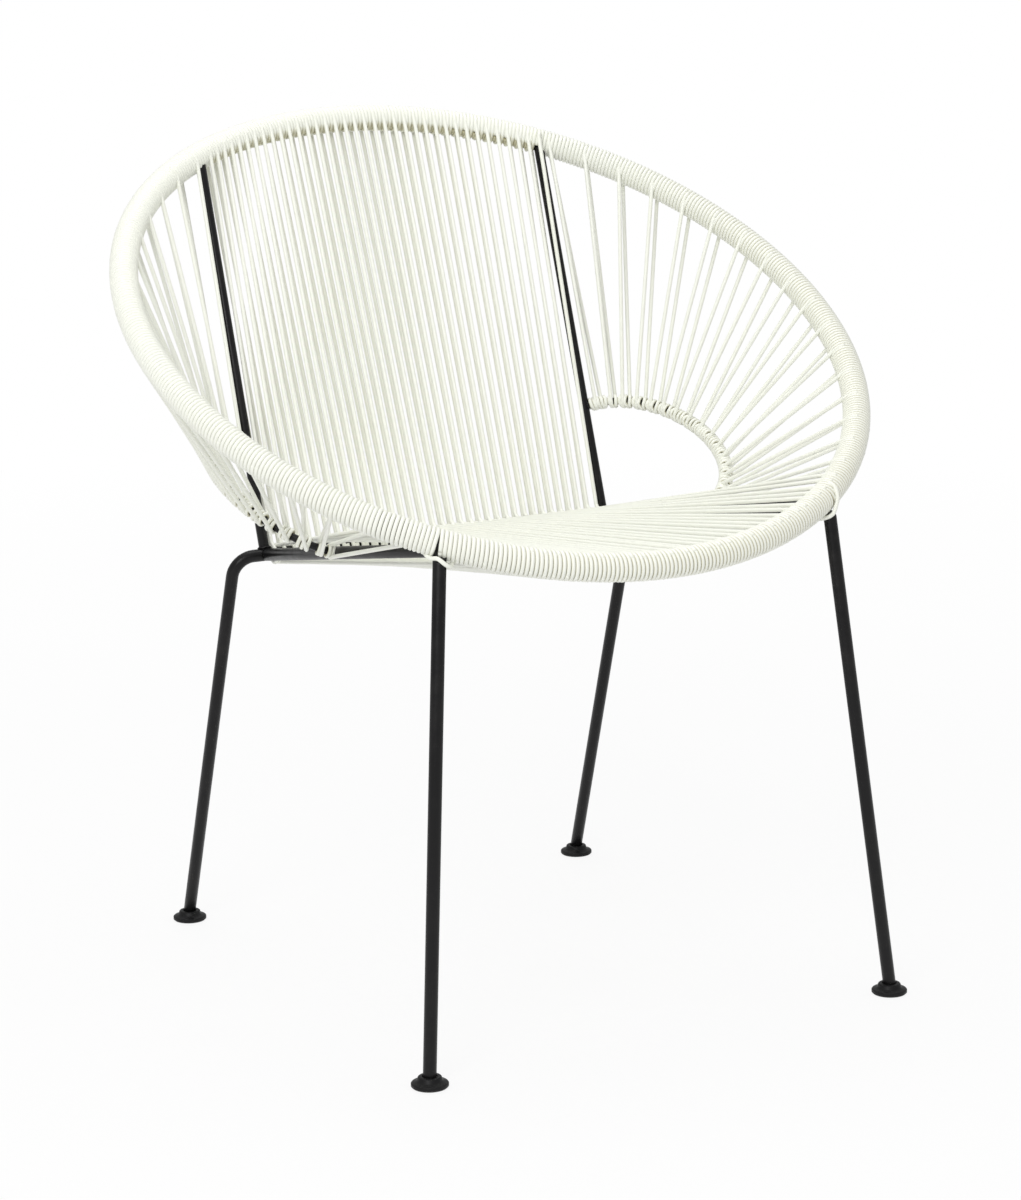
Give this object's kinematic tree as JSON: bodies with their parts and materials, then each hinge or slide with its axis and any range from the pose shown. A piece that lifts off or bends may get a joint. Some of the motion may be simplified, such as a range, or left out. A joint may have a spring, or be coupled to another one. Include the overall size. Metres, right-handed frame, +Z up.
{
  "type": "acapulco chair",
  "caption": "Patio and porch chair with a tilted round rim on four legs, a back, seat and sides strung in cord, and open half rings at the arms.",
  "frame": {"origin": "on the floor, under the middle of the chair's outline", "axes": "+Z up, front of the chair towards -Y, the sitter's left hand towards +X"},
  "size_m": [0.727, 0.6347, 0.8015],
  "materials": {
    "steel": "satin black powder coat on steel",
    "cord": "satin ivory-white flexible plastic cord",
    "glide": "moulded black plastic"
  },
  "bodies": {
    "root": {"rim_tube": "steel", "rear_leg_frame": "steel", "rim_wrap_back": "cord", "rim_wrap_front": "cord", "back_cords": "cord", "seat_cords_upper": "cord", "seat_cords_lower": "cord", "front_leg_right": "steel", "side_rail_right": "steel", "upright_right": "steel", "arm_ring_right": "steel", "rim_wrap_right": "cord", "arm_ring_wrap_right": "cord", "side_cords_right": "cord", "rim_tie_right": "cord", "glide_front_right": "glide", "glide_rear_right": "glide", "front_leg_left": "steel", "side_rail_left": "steel", "upright_left": "steel", "arm_ring_left": "steel", "rim_wrap_left": "cord", "arm_ring_wrap_left": "cord", "side_cords_left": "cord", "rim_tie_left": "cord", "glide_front_left": "glide", "glide_rear_left": "glide"}
  },
  "joints": []
}
